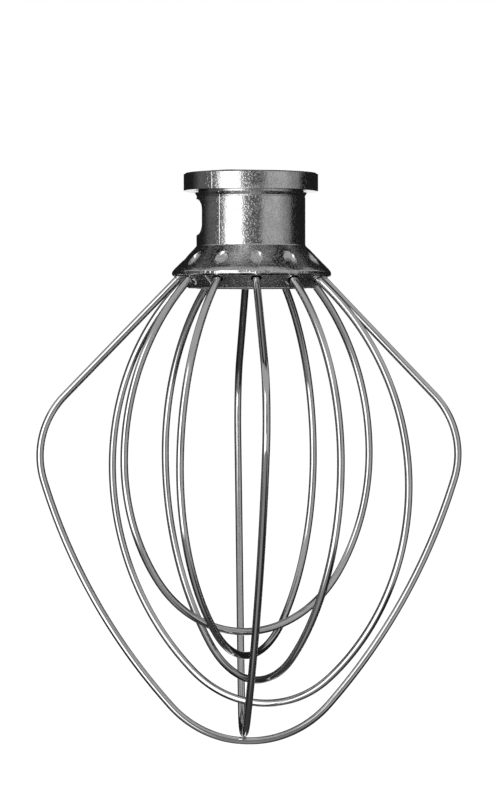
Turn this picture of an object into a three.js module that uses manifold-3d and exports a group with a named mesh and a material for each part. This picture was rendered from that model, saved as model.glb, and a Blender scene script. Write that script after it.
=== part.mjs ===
// Wire whip for a stand mixer: a die-cast drive hub, a wire retainer pressed up into its skirt,
// and six bent wire loops. Millimetres, +Z up. The origin is on the axis at the hub's top face,
// and the whip hangs below it. Heights are given as depths below that face.

import * as THREE from 'three';
import { mergeVertices } from 'three/addons/utils/BufferGeometryUtils.js';
import Module from 'manifold-3d';

const wasm = await Module();
wasm.setup();

// ---- Fits ----
const clearance = 0.3;             // between pieces that touch or seat in each other

// ---- Drive socket: fits a half-inch beater shaft with a cross pin ----
const socketDiameter = 12.9;
const socketDepth = 25.2;
const socketChamfer = 0.6;
const pinSlotWidth = 5.4;          // keyway that the cross pin slides down
const pinSlotReach = 10.4;         // from the axis to the keyway's far wall
const pinSeatRise = 1.2;           // notch above the window that hooks over the pin
const pinTurn = 44;                // degrees from the keyway to the pin's seat

// ---- Bayonet window through the neck wall ----
const windowWidth = 12.7;
const windowHeight = 9.0;
const windowTopDepth = 7.5;
const windowCornerRadius = 2.7;
const windowAzimuth = 180;         // degrees, so the window faces -X

// ---- Hub outside ----
const flangeRadius = 18.1;
const flangeThickness = 5.05;
const flangeTopRounding = 0.9;
const flangeBottomRounding = 0.3;
const grooveRadius = 14.2;         // undercut between flange and neck
const grooveWidth = 0.5;
const shoulderRadius = 15.2;       // neck's top edge
const shoulderTaper = 1.1;         // length over which the shoulder runs down to the neck
const neckRadius = 14.67;
const neckEndDepth = 19.6;
const neckFillet = 0.4;
const lipRadius = 21.45;           // upright edge that ends the skirt
const lipDepth = 26.45;            // where the slope meets that edge
const lipHeight = 0.85;
const lipRounding = 0.5;
const skirtWall = 1.5;

// ---- Hub inside, above the retainer ----
const cavityDepth = 22.4;          // ceiling of the hollow under the skirt
const coreRadius = 11.5;           // wall round the lower end of the socket

// ---- Stake dimples that lock the wires ----
const dimpleWidth = 3.7;
const dimpleLength = 4.9;          // along the skirt's slope
const dimpleSink = 0.9;
const dimpleFromLip = 4.65;        // up the slope from the lip's corner

// ---- Wire retainer ----
const bossRadius = 16.9;
const bossDepth = 31.1;            // lowest face of the retainer
const bossRounding = 0.5;
const dishRadius = 14.8;
const dishSink = 0.5;
const dishDraft = 0.4;

// ---- Wires ----
const wireDiameter = 1.9;
const wireSeatLength = 6.0;        // length of wire held inside the retainer
const wireEnds = 12;
const wireClocking = 4;            // degrees from the window's axis to the first loop

// ---- Kite loops: a straight upper leg, a corner and a bowed lower leg ----
const whipHeight = 154.35;         // from the hub's top face to the bottom of the lower kite
const lowerKiteWidth = 114.9;      // over the wire, as the width of every loop is
const lowerKiteWidestDepth = 76;
const lowerKiteTipRadius = 28.4;
const lowerKiteCornerRadius = 23;
const lowerKiteBowRadius = 164;
const lowerKiteLean = -0.2;        // its tip leans sideways in its plane by this much
const lowerKiteBellyLean = -0.15;  // its middle is bent that way besides
const upperKiteWidth = 112.3;
const upperKiteWidestDepth = 66.2;
const upperKiteTipRadius = 14.5;
const upperKiteCornerRadius = 20;
const upperKiteBowRadius = 234;
const upperKiteSway = -2;          // its tip leans out of its plane by this much
const upperKiteBellySway = 0.8;    // its middle is bent out of its plane besides

// ---- Round loops, from the longest to the shortest ----
const firstRoundWidth = 90.6;
const firstRoundWidestDepth = 81.6;
const firstRoundTipDepth = 142.95;
const firstRoundTipRadius = 30.6;
const firstRoundLean = 2.75;
const firstRoundBellyLean = 0.5;
const secondRoundWidth = 86.5;
const secondRoundWidestDepth = 76.7;
const secondRoundTipDepth = 136.7;
const secondRoundTipRadius = 29;
const secondRoundBellySway = -0.6;
const thirdRoundWidth = 83.7;
const thirdRoundWidestDepth = 77.9;
const thirdRoundTipDepth = 130.05;
const thirdRoundTipRadius = 31.3;
const thirdRoundBellySway = -0.3;
const fourthRoundWidth = 81.5;
const fourthRoundWidestDepth = 76.5;
const fourthRoundTipDepth = 123.7;
const fourthRoundTipRadius = 36.4;
const fourthRoundBellyLean = 0.2;

// ---- Finish ----
const castColour = 0xa9abad;
const castRoughness = 0.35;
const wireColour = 0xc4c6c8;
const wireRoughness = 0.2;

// ---- Fineness of the facets ----
const hubSides = 48;
const wireSides = 8;
const holeSides = 8;
const pinSeatSides = 16;
const dimpleSides = 10;
const dimpleRings = 8;
const wireSteps = 66;
const roundingSteps = 3;
const windowCornerSteps = 4;
const arcStep = 5;                 // degrees between the points of a wire's arcs
const legPoints = 6;               // points along a kite's straight leg
const weldDistance = 1e-4;         // vertices nearer than this are one

// ---- Lines and outlines in the (radius, depth) half plane ----

const point = (radius, depth) => new THREE.Vector2(radius, depth);

// A straight line through two points.
function lineThrough(from, to) {
  return { start: from.clone(), along: to.clone().sub(from).normalize() };
}

// The same line moved sideways. On the skirt, which is drawn upwards, that is into the metal.
function offsetLine(line, distance) {
  const side = point(line.along.y, -line.along.x);
  return { start: line.start.clone().addScaledVector(side, distance), along: line.along };
}

// Where two lines cross.
function meet(a, b) {
  const gap = b.start.clone().sub(a.start);
  const t = gap.cross(b.along) / a.along.cross(b.along);
  return a.start.clone().addScaledVector(a.along, t);
}

// The point of a line that lies at a given depth.
function atDepth(line, depth) {
  return line.start.clone().addScaledVector(line.along, (depth - line.start.y) / line.along.y);
}

// An outline from its corners, each rounded by its own radius where it has one.
function roundedOutline(corners) {
  const outline = [];
  corners.forEach(({ at, rounding = 0 }, i) => {
    if (rounding === 0) {
      outline.push(at);
      return;
    }
    const back = corners[(i + corners.length - 1) % corners.length].at.clone().sub(at).normalize();
    const ahead = corners[(i + 1) % corners.length].at.clone().sub(at).normalize();
    const half = Math.acos(back.dot(ahead)) / 2;
    const toTangent = rounding / Math.tan(half);
    const from = at.clone().addScaledVector(back, toTangent);
    const to = at.clone().addScaledVector(ahead, toTangent);
    const middle = back.clone().add(ahead).normalize();
    const centre = at.clone().addScaledVector(middle, rounding / Math.sin(half));
    const start = from.clone().sub(centre).angle();
    let turn = to.clone().sub(centre).angle() - start;
    if (turn > Math.PI) turn -= 2 * Math.PI;
    if (turn < -Math.PI) turn += 2 * Math.PI;
    for (let s = 0; s <= roundingSteps; s += 1) {
      const angle = start + (turn * s) / roundingSteps;
      outline.push(point(centre.x + rounding * Math.cos(angle), centre.y + rounding * Math.sin(angle)));
    }
  });
  return outline;
}

// ---- Solids ----

// A closed solid from a geometry, welded so that its faces share their vertices.
function toSolid(geometry) {
  const bare = geometry.clone();
  bare.deleteAttribute('normal');
  bare.deleteAttribute('uv');
  const welded = mergeVertices(bare, weldDistance);
  return new wasm.Manifold(new wasm.Mesh({
    numProp: 3,
    vertProperties: new Float32Array(welded.attributes.position.array),
    triVerts: new Uint32Array(welded.index.array),
  }));
}

function toGeometry(solid) {
  const { vertProperties, triVerts } = solid.getMesh();
  const geometry = new THREE.BufferGeometry();
  geometry.setAttribute('position', new THREE.BufferAttribute(vertProperties, 3));
  geometry.setIndex(new THREE.BufferAttribute(triVerts, 1));
  geometry.computeVertexNormals();
  return geometry;
}

// A revolve about Z of an outline given as (radius, depth), drawn from the inside of the top face
// outwards and down. An outline that doesn't start on the axis is closed on itself.
function revolve(outline) {
  const profile = outline.map((p) => point(p.x, -p.y)).reverse();
  if (profile[0].x > 0) profile.push(profile[0].clone());
  return new THREE.LatheGeometry(profile, hubSides).rotateX(Math.PI / 2);
}

// Moves a geometry made round the origin to a place in the plane of azimuth 0, with its own
// Y axis turned to point along a slope of the half plane.
function placeOnSlope(geometry, at, along) {
  const up = new THREE.Vector3(along.x, 0, -along.y);
  const turn = new THREE.Quaternion().setFromUnitVectors(new THREE.Vector3(0, 1, 0), up);
  return geometry.applyQuaternion(turn).translate(at.x, 0, -at.y);
}

// Azimuth of a wire end, in radians. The ends are spaced evenly round the hub.
const endAzimuth = (place) => THREE.MathUtils.degToRad(wireClocking + (place * 360) / wireEnds);

// Copies of a geometry at every wire end, as solids.
function atEveryWireEnd(geometry) {
  return Array.from({ length: wireEnds }, (_, place) => (
    toSolid(geometry.clone().rotateZ(endAzimuth(place)))
  ));
}

// ---- Shared construction lines of the skirt, the retainer and the wire ends ----

const lipCorner = point(lipRadius, lipDepth);
const lipFoot = point(lipRadius, lipDepth + lipHeight);
const neckCorner = point(neckRadius, neckEndDepth);
const skirtOutside = lineThrough(lipCorner, neckCorner);
const skirtInside = offsetLine(skirtOutside, skirtWall);
const retainerSeat = offsetLine(skirtOutside, skirtWall + clearance);
const wireAxis = offsetLine(skirtOutside, skirtWall + clearance + wireDiameter / 2);
const underside = lineThrough(lipFoot, point(bossRadius, bossDepth));
const wireExit = meet(wireAxis, underside);
const outward = wireAxis.along.clone().negate();
const wireHoleRadius = wireDiameter / 2 + clearance;

// ---- Drive hub ----

// The whole casting as one revolve: flange, undercut, neck, skirt, lip and the hollow under it.
function hubBody() {
  const grooveEnd = flangeThickness + grooveWidth;
  return revolve(roundedOutline([
    { at: point(socketDiameter / 2, socketChamfer) },
    { at: point(socketDiameter / 2 + socketChamfer, 0) },
    { at: point(flangeRadius, 0), rounding: flangeTopRounding },
    { at: point(flangeRadius, flangeThickness), rounding: flangeBottomRounding },
    { at: point(grooveRadius, flangeThickness) },
    { at: point(grooveRadius, grooveEnd) },
    { at: point(shoulderRadius, grooveEnd) },
    { at: point(neckRadius, grooveEnd + shoulderTaper) },
    { at: neckCorner, rounding: neckFillet },
    { at: lipCorner, rounding: lipRounding },
    { at: lipFoot, rounding: lipRounding },
    { at: meet(skirtInside, underside) },
    { at: atDepth(skirtInside, cavityDepth) },
    { at: point(coreRadius, cavityDepth) },
    { at: point(coreRadius, socketDepth) },
    { at: point(socketDiameter / 2, socketDepth) },
  ]));
}

// A rectangle with rounded corners, centred on the origin.
function roundedRectangle(width, height, radius) {
  const [x, y] = [width / 2, height / 2];
  const shape = new THREE.Shape();
  shape.moveTo(-x + radius, -y);
  shape.lineTo(x - radius, -y);
  shape.absarc(x - radius, -y + radius, radius, -Math.PI / 2, 0);
  shape.lineTo(x, y - radius);
  shape.absarc(x - radius, y - radius, radius, 0, Math.PI / 2);
  shape.lineTo(-x + radius, y);
  shape.absarc(-x + radius, y - radius, radius, Math.PI / 2, Math.PI);
  shape.lineTo(-x, -y + radius);
  shape.absarc(-x + radius, -y + radius, radius, Math.PI, Math.PI * 1.5);
  return shape;
}

// Pushes a shape out along +X, with the shape's own axes along Y and Z.
function extrudeAlongX(shape, length) {
  const geometry = new THREE.ExtrudeGeometry(shape, {
    depth: length,
    bevelEnabled: false,
    curveSegments: windowCornerSteps,
  });
  return geometry.rotateX(Math.PI / 2).rotateZ(Math.PI / 2);
}

// The window through the neck wall, the keyway that lets the cross pin down to it from the top
// face, and the notch that hooks over the pin once the whip is turned.
function bayonetCuts() {
  const windowMiddle = windowTopDepth + windowHeight / 2;
  const windowShape = roundedRectangle(windowWidth, windowHeight, windowCornerRadius);
  const window = extrudeAlongX(windowShape, 2 * shoulderRadius);
  window.translate(0, 0, -windowMiddle);

  const keyway = new THREE.BoxGeometry(pinSlotReach, pinSlotWidth, windowMiddle * 2);
  keyway.translate(pinSlotReach / 2, 0, 0);
  keyway.rotateZ(THREE.MathUtils.degToRad(-pinTurn / 2));

  const seatTop = windowTopDepth - pinSeatRise;
  const seatRadius = pinSlotWidth / 2;
  const seat = new THREE.CylinderGeometry(seatRadius, seatRadius, pinSlotReach, pinSeatSides);
  seat.rotateZ(Math.PI / 2).translate(pinSlotReach / 2, 0, -(seatTop + seatRadius));
  seat.rotateZ(THREE.MathUtils.degToRad(pinTurn / 2));

  return [window, keyway, seat].map((cut) => (
    toSolid(cut.rotateZ(THREE.MathUtils.degToRad(windowAzimuth)))
  ));
}

// Oval stake marks on the skirt, one above each wire end.
function stakeDimples() {
  const dimple = new THREE.SphereGeometry(1, dimpleSides, dimpleRings);
  dimple.scale(dimpleSink, dimpleLength / 2, dimpleWidth / 2);
  const at = lipCorner.clone().addScaledVector(skirtOutside.along, dimpleFromLip);
  return atEveryWireEnd(placeOnSlope(dimple, at, outward));
}

function driveHub() {
  const cuts = [...bayonetCuts(), ...stakeDimples()];
  return cuts.reduce((hub, cut) => hub.subtract(cut), toSolid(hubBody()));
}

// ---- Wire retainer ----

// Blind holes for the wire ends, bored from the retainer's sloping face up along the skirt.
function wireHoles() {
  const boreLength = 2 * (wireSeatLength + clearance);
  const bore = new THREE.CylinderGeometry(wireHoleRadius, wireHoleRadius, boreLength, holeSides);
  return atEveryWireEnd(placeOnSlope(bore, wireExit, outward));
}

// A plug that fills the hollow under the skirt. Its rim stands up round the socket's end.
function wireRetainer() {
  const body = toSolid(revolve(roundedOutline([
    { at: point(0, socketDepth + clearance) },
    { at: point(coreRadius + clearance, socketDepth + clearance) },
    { at: point(coreRadius + clearance, cavityDepth + clearance) },
    { at: atDepth(retainerSeat, cavityDepth + clearance) },
    { at: meet(retainerSeat, underside) },
    { at: point(bossRadius, bossDepth), rounding: bossRounding },
    { at: point(dishRadius, bossDepth) },
    { at: point(dishRadius - dishDraft, bossDepth - dishSink) },
    { at: point(0, bossDepth - dishSink) },
  ])));
  return wireHoles().reduce((plug, hole) => plug.subtract(hole), body);
}

// ---- Wire loops ----

// Each loop lies in a plane through the axis. Its half outline runs from the retainer to the tip:
// the wire's centre line is halfWidth from the axis at widestDepth, and its tip is an arc of
// tipRadius at tipDepth. lean and sway say how far the tip leans in and out of the loop's plane,
// and bellyLean and bellySway how far the middle of the loop is bent that way besides.
const upright = { lean: 0, sway: 0, bellyLean: 0, bellySway: 0 };
const fromWidth = (width) => (width - wireDiameter) / 2;
const lowerKiteTipDepth = whipHeight - wireDiameter / 2;
const upperKiteTipDepth = lowerKiteTipDepth - wireDiameter - clearance;

const loops = [
  {
    ...upright, name: 'kite_wire_lower', place: 0, halfWidth: fromWidth(lowerKiteWidth),
    widestDepth: lowerKiteWidestDepth, tipDepth: lowerKiteTipDepth, tipRadius: lowerKiteTipRadius,
    cornerRadius: lowerKiteCornerRadius, bowRadius: lowerKiteBowRadius,
    lean: lowerKiteLean, bellyLean: lowerKiteBellyLean,
  },
  {
    ...upright, name: 'kite_wire_upper', place: 9, halfWidth: fromWidth(upperKiteWidth),
    widestDepth: upperKiteWidestDepth, tipDepth: upperKiteTipDepth, tipRadius: upperKiteTipRadius,
    cornerRadius: upperKiteCornerRadius, bowRadius: upperKiteBowRadius,
    sway: upperKiteSway, bellySway: upperKiteBellySway,
  },
  {
    ...upright, name: 'round_wire_1', place: 11, halfWidth: fromWidth(firstRoundWidth),
    widestDepth: firstRoundWidestDepth, tipDepth: firstRoundTipDepth,
    tipRadius: firstRoundTipRadius, lean: firstRoundLean, bellyLean: firstRoundBellyLean,
  },
  {
    ...upright, name: 'round_wire_2', place: 10, halfWidth: fromWidth(secondRoundWidth),
    widestDepth: secondRoundWidestDepth, tipDepth: secondRoundTipDepth,
    tipRadius: secondRoundTipRadius, bellySway: secondRoundBellySway,
  },
  {
    ...upright, name: 'round_wire_3', place: 8, halfWidth: fromWidth(thirdRoundWidth),
    widestDepth: thirdRoundWidestDepth, tipDepth: thirdRoundTipDepth,
    tipRadius: thirdRoundTipRadius, bellySway: thirdRoundBellySway,
  },
  {
    ...upright, name: 'round_wire_4', place: 7, halfWidth: fromWidth(fourthRoundWidth),
    widestDepth: fourthRoundWidestDepth, tipDepth: fourthRoundTipDepth,
    tipRadius: fourthRoundTipRadius, bellyLean: fourthRoundBellyLean,
  },
];

const degrees = THREE.MathUtils.radToDeg;

// Direction from one point to another, in degrees from straight down towards the outside.
const bearing = (from, to) => degrees(Math.atan2(to.x - from.x, to.y - from.y));

const stepFrom = (from, angle, length) => point(
  from.x + length * Math.sin(THREE.MathUtils.degToRad(angle)),
  from.y + length * Math.cos(THREE.MathUtils.degToRad(angle)));

// Points along an arc between two bearings from its centre.
function arc(centre, radius, from, to) {
  const count = Math.ceil(Math.abs(to - from) / arcStep);
  return Array.from({ length: count + 1 }, (_, i) => (
    stepFrom(centre, from + ((to - from) * i) / count, radius)
  ));
}

// Half outline of a round loop: one arc out to the widest point, then two tangent arcs to the tip.
function roundHalf({ halfWidth, widestDepth, tipDepth, tipRadius }) {
  const across = halfWidth - wireExit.x;
  const down = widestDepth - wireExit.y;
  const upperRadius = (across ** 2 + down ** 2) / (2 * across);
  const upperCentre = point(halfWidth - upperRadius, widestDepth);
  const reach = tipDepth - widestDepth;
  const lowerRadius = (halfWidth ** 2 + reach ** 2 - 2 * reach * tipRadius)
    / (2 * (halfWidth - tipRadius));
  const lowerCentre = point(halfWidth - lowerRadius, widestDepth);
  const tipCentre = point(0, tipDepth - tipRadius);
  const joint = bearing(lowerCentre, tipCentre);
  return [
    ...arc(upperCentre, upperRadius, bearing(upperCentre, wireExit), 90),
    ...arc(lowerCentre, lowerRadius, 90, joint).slice(1),
    ...arc(tipCentre, tipRadius, joint, 0).slice(1),
  ];
}

// Half outline of a kite loop: a straight leg, the corner, a bowed lower leg and the tip. The leg
// is the tangent from the retainer to the corner, and the bow is tangent to corner and tip.
function kiteHalf({ halfWidth, widestDepth, tipDepth, tipRadius, cornerRadius, bowRadius }) {
  const cornerCentre = point(halfWidth - cornerRadius, widestDepth);
  const tipCentre = point(0, tipDepth - tipRadius);

  const toCorner = wireExit.distanceTo(cornerCentre);
  const legAngle = bearing(wireExit, cornerCentre) + degrees(Math.asin(cornerRadius / toCorner));
  const legLength = Math.sqrt(toCorner ** 2 - cornerRadius ** 2);
  const leg = Array.from({ length: legPoints }, (_, i) => (
    stepFrom(wireExit, legAngle, (legLength * i) / legPoints)
  ));

  const between = cornerCentre.distanceTo(tipCentre);
  const fromCorner = bowRadius - cornerRadius;
  const fromTip = bowRadius - tipRadius;
  const turn = Math.acos((between ** 2 + fromCorner ** 2 - fromTip ** 2) / (2 * between * fromCorner));
  const bowCentre = stepFrom(cornerCentre, bearing(cornerCentre, tipCentre) - degrees(turn), fromCorner);
  const bowStart = bearing(bowCentre, cornerCentre);
  const bowEnd = bearing(bowCentre, tipCentre);
  return [
    ...leg,
    ...arc(cornerCentre, cornerRadius, legAngle + 90, bowStart),
    ...arc(bowCentre, bowRadius, bowStart, bowEnd).slice(1),
    ...arc(tipCentre, tipRadius, bowEnd, 0).slice(1),
  ];
}

// The wire's whole centre line, from one seat down to the tip and up to the other seat.
function loopPath(loop) {
  const outline = loop.bowRadius ? kiteHalf(loop) : roundHalf(loop);
  const seatEnd = wireExit.clone().addScaledVector(outward, -wireSeatLength);
  const half = [seatEnd, wireExit, ...outline];
  const onSide = (side) => ({ x, y }) => {
    const drop = Math.max(0, (y - wireExit.y) / (loop.tipDepth - wireExit.y));
    const belly = 4 * drop * (1 - drop);
    const inPlane = side * x + loop.lean * drop + loop.bellyLean * belly;
    return new THREE.Vector3(inPlane, loop.sway * drop + loop.bellySway * belly, -y);
  };
  const otherHalf = half.slice(0, -1).reverse();
  return new THREE.CatmullRomCurve3([...half.map(onSide(1)), ...otherHalf.map(onSide(-1))]);
}

function wireLoop(loop) {
  const section = new THREE.Shape(Array.from({ length: wireSides }, (_, i) => {
    const angle = (i * 2 * Math.PI) / wireSides;
    return point((wireDiameter / 2) * Math.cos(angle), (wireDiameter / 2) * Math.sin(angle));
  }));
  const wire = new THREE.ExtrudeGeometry(section, { steps: wireSteps, extrudePath: loopPath(loop) });
  return toSolid(wire);
}

// ---- Assembly ----

const metal = (color, roughness) => new THREE.MeshStandardMaterial({ color, roughness, metalness: 1 });
const castMetal = () => metal(castColour, castRoughness);
const drawnWire = () => metal(wireColour, wireRoughness);

function piece(name, solid, material) {
  const mesh = new THREE.Mesh(toGeometry(solid), material);
  mesh.name = name;
  return mesh;
}

const whip = new THREE.Group();
whip.add(piece('drive_hub', driveHub(), castMetal()));
whip.add(piece('wire_retainer', wireRetainer(), castMetal()));
loops.forEach((loop) => {
  const wire = piece(loop.name, wireLoop(loop), drawnWire());
  wire.rotation.z = endAzimuth(loop.place);
  whip.add(wire);
});

export default whip;
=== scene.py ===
"""Looks of a stand mixer's wire whip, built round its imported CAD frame.

Named sizes of the whip are in millimetres and become metres where a mesh is made; those of the
studio are in metres. A point of the half plane is the complex number radius + depth * 1j, and depth
runs down from the hub's top face. Azimuths of the object are in degrees about +Z from +X, so the
front, where the camera stands, is at -90.
"""

import cmath
import math

import bmesh
import bpy
import numpy as np
from mathutils import Matrix, Vector, noise


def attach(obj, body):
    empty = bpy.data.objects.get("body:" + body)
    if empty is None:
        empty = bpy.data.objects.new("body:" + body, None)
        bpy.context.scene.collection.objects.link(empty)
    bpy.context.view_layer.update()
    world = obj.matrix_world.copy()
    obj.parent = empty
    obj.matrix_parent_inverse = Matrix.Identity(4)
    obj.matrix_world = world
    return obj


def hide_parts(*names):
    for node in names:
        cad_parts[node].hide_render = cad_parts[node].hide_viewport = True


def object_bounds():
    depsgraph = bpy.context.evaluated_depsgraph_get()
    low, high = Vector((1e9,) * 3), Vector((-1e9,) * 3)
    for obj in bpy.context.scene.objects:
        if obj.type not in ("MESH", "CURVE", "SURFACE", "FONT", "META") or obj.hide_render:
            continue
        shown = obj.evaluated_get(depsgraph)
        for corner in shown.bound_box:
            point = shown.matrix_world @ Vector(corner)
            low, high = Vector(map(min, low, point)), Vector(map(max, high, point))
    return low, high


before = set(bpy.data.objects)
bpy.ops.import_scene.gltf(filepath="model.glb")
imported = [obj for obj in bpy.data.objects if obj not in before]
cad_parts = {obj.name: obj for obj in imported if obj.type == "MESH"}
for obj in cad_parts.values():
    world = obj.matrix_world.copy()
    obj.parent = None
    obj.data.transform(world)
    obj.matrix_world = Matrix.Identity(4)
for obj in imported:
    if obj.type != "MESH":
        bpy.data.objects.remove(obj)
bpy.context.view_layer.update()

MM = 0.001

# ---- Hub, as in the CAD part ----
SOCKET_RADIUS = 6.45
SOCKET_DEPTH = 25.2
SOCKET_CHAMFER = 0.6
PIN_SLOT_WIDTH = 5.4
PIN_SLOT_REACH = 10.4
PIN_SEAT_RISE = 1.2
PIN_TURN = 44
WINDOW_WIDTH = 12.7
WINDOW_HEIGHT = 9.0
WINDOW_TOP_DEPTH = 7.5
WINDOW_CORNER_RADIUS = 2.7
WINDOW_AZIMUTH = 180
FLANGE_RADIUS = 18.1
FLANGE_THICKNESS = 5.05
GROOVE_RADIUS = 14.2
NECK_RADIUS = 14.67
NECK_END_DEPTH = 19.6
LIP_RADIUS = 21.45
LIP_DEPTH = 26.45
LIP_HEIGHT = 0.85
SKIRT_WALL = 1.5
CAVITY_DEPTH = 22.4
CORE_RADIUS = 11.5
DIMPLE_WIDTH = 3.7
DIMPLE_LENGTH = 4.9
DIMPLE_FROM_LIP = 4.65

# ---- Retainer and wires, as in the CAD part ----
BOSS_RADIUS = 16.9
BOSS_DEPTH = 31.1
DISH_RADIUS = 14.8
DISH_SINK = 0.5
DISH_DRAFT = 0.4
WIRE_SEAT_LENGTH = 6.0
WIRE_ENDS = 12
WIRE_CLOCKING = 4
WIRE_AXIS_SINK = 2.75               # the wires' ends lie this deep under the skirt
SEAT_CLEARANCE = 0.3

# ---- Sizes and finer detail that the CAD part lacks or has a little different ----
WIRE_RADIUS = 1.02
GROOVE_WIDTH = 0.35
SHOULDER_RADIUS = 15.12
DIMPLE_SINK = 1.05                  # at its end towards the lip
DIMPLE_FALL = 0.72                  # share of that lost towards the neck
PIN_SLOT_CHAMFER = 0.8
FLANGE_CHAMFER = 0.45
FLANGE_CHAMFER_ROUNDING = 0.12
FLANGE_TOP_WEAR = 0.2               # the top face lies this much low, but for one high spot
HIGH_SPOT_AZIMUTH = -110
HIGH_SPOT_HALF_ANGLE = 0.3          # in radians
FLANGE_BOTTOM_ROUNDING = 0.25
DIE_MISMATCH = 0.22                 # the flange is this much thinner behind the parting line
DIE_MISMATCH_RAMP = 0.01            # in radians
SHOULDER_EDGE_ROUNDING = 0.05
SHOULDER_KNEE = complex(14.55, 6.4)
SHOULDER_END_DEPTH = 6.85
SHOULDER_ROUNDING = 0.2
NECK_FILLET = 0.6
SKIRT_SHIFT = 0.18                  # the skirt lies off the axis towards +X by this
SKIRT_SHIFT_START = -0.45           # the shift grows from here to here, from the neck's end
SKIRT_SHIFT_END = 1.05
SKIRT_HOLLOW = 0.07                 # how far the skirt dips in above the lip
LIP_ROLL_LENGTH = 1.1               # the skirt starts rolling over this far above the lip
LIP_ROLL_ROUNDING = 4
LIP_NOSE_TOP = complex(-0.07, 0.15)  # the nose's two corners, from the lip's sharp corner
LIP_NOSE_FOOT = complex(-0.07, 0.85)
LIP_NOSE_ROUNDING = 1.0
LIP_FOOT_ROUNDING = 0.7
LIP_EDGE = 0.5                      # width of the lip's underside, down to the joint
LIP_EDGE_ROUNDING = 0.1
LIP_ROOT_RISE = 1.0                 # the skirt's inside starts this far above the lip
SKIRT_CLEARANCE = 0.05              # between the skirt's inside and the retainer
JOINT_WIDTH = 0.2                   # groove between the lip and the retainer
JOINT_SINK = 0.25
JOINT_ROUNDING = 0.1
JOINT_ROOM = 0.1                    # the retainer's seat ends this far below the lip's root
BOSS_ROUNDING = 0.5
DISH_ROUNDING = 0.2
WINDOW_EDGE_ROUNDING = 0.35
WIRE_HOLE_RADIUS = 1.4
PARTING_AZIMUTH = -125.1            # where the two halves of the casting die met
PARTING_WIDTH = 0.1
PARTING_HEIGHT = 0.04
PARTING_SHARE_OFF_NECK = 0.8        # the line's height away from the neck, as a share
PARTING_SHARE_ON_SLOPE = 0.6        # and its further share near the skirt's slope
LIP_RIPPLE = 0.16                   # uneven edge left by pressing the retainer in
LIP_RIPPLE_WAVES = ((0.6, 1.0), (2.1, 0.8))     # waves per millimetre, and their share
LIP_RIPPLE_REACH = 0.9              # how far from the lip's rim the unevenness fades
BEAD_HEIGHT = 0.22                  # metal squeezed up above each wire
BEAD_RADIUS = 0.8
FLASH_RADIUS = 0.13
FLASH_RISE = 0.1                    # a thread's middle lies this far off the sloping face

# Threads of flash on the retainer's sloping face, as (azimuth, distance down the slope from the lip)
FLASH_LINES = [
    [(-125.9, 0.9), (-125.6, 3.0), (-125.5, 5.4)],
    [(-142.0, 2.2), (-140.7, 2.7), (-141.4, 3.5), (-144.4, 4.3), (-145.9, 4.1)],
    [(-61.2, 3.5), (-57.6, 4.4)],
]

# ---- Fineness of the meshes ----
COLUMN_STEP = 1.5
DIMPLE_COLUMN_STEP = 0.45
DIMPLE_COLUMN_MARGIN = 1            # in degrees
PARTING_COLUMNS = (-2.4, -1.6, -1.0, -0.5, 0, 0.5, 1.0, 1.6, 2.4)   # places across the line, in widths
COLUMN_CLEARANCE = 0.003            # in radians
RETAINER_COLUMNS = 192
WIRE_SIDES = 24
WIRE_STEP = 0.8
WIRE_SEAT_STEPS = 8
FLASH_SIDES = 8
PIN_SEAT_SIDES = 32
WINDOW_EDGE_ANGLES = (0, 20, 40, 60, 75)
ROUNDING_STEPS = 6
ROUNDING_SLACK = 1.001              # keeps an arc from gaining a step through rounding errors
FINE_SPACING = 0.18
COARSE_SPACING = 1.6
FINE_BELOW_SHOULDER = 0.3           # the finer spacing runs down to this far below the shoulder,
FINE_OFF_SLOPE = 0.8                # and on the skirt to this far off its slope,
FINE_UP_SLOPE = (-1.6, 8)           # between these distances up the slope from the lip
WELD_DISTANCE = 1e-7                # in metres

# ---- Which points of the hub's outline a feature of its relief covers ----
ON_SLOPE = 0.3                      # at most this far off the skirt's slope
NEAR_SLOPE = 0.5
PAST_LIP = 0.5                      # at least this far up the slope from the lip
OFF_NECK = 1                        # at least this far out from the neck's face
FLANGE_MARGIN = 0.01                # at most this far below the flange's underside,
GROOVE_MARGIN = 0.2                 # and at least this far out from the groove
ABOVE_LIP_FOOT = 0.4                # at most this far back from the lip's foot
FACING_OUT = 0.2                    # with a normal that points outwards by more than this share,
FACING_UP = 0.5                     # or upwards by less than this one
BEAD_SHARE = 0.3                    # where the lip's unevenness has more than this share

# ---- Room round the cutting shapes ----
CUTTER_OVERHANG = 2.0               # above the hub's top face
WINDOW_FLARE = 0.6                  # the rounded edge runs out this far beyond the neck's face
WINDOW_OVERHANG = 4
HOLE_END_ROOM = 0.2
HOLE_OVERHANG = 3.0

# Half outlines of the loops: half width at the widest depth, then depth and radius of the tip.
# A kite has a corner radius and the radius of its bowed lower leg as well. The place counts the
# wire ends round the axis.
LOOPS = [
    {"node": "kite_wire_lower", "place": 0, "half_width": 56.5, "widest": 76, "tip": 153.4,
     "tip_radius": 28.4, "corner_radius": 23, "bow_radius": 164, "lean": -0.2, "belly_lean": -0.15},
    {"node": "kite_wire_upper", "place": 9, "half_width": 55.2, "widest": 66.2, "tip": 151.2,
     "tip_radius": 14.5, "corner_radius": 20, "bow_radius": 234, "sway": -2, "belly_sway": 0.8},
    {"node": "round_wire_1", "place": 11, "half_width": 44.35, "widest": 81.6, "tip": 142.95,
     "tip_radius": 30.6, "lean": 2.75, "belly_lean": 0.5},
    {"node": "round_wire_2", "place": 10, "half_width": 42.3, "widest": 76.7, "tip": 136.7,
     "tip_radius": 29, "belly_sway": -0.6},
    {"node": "round_wire_3", "place": 8, "half_width": 40.9, "widest": 77.9, "tip": 130.05,
     "tip_radius": 31.3, "belly_sway": -0.3},
    {"node": "round_wire_4", "place": 7, "half_width": 39.8, "widest": 76.5, "tip": 123.7,
     "tip_radius": 36.4, "belly_lean": 0.2},
]


# ---- Lines and outlines of the half plane ----

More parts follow.
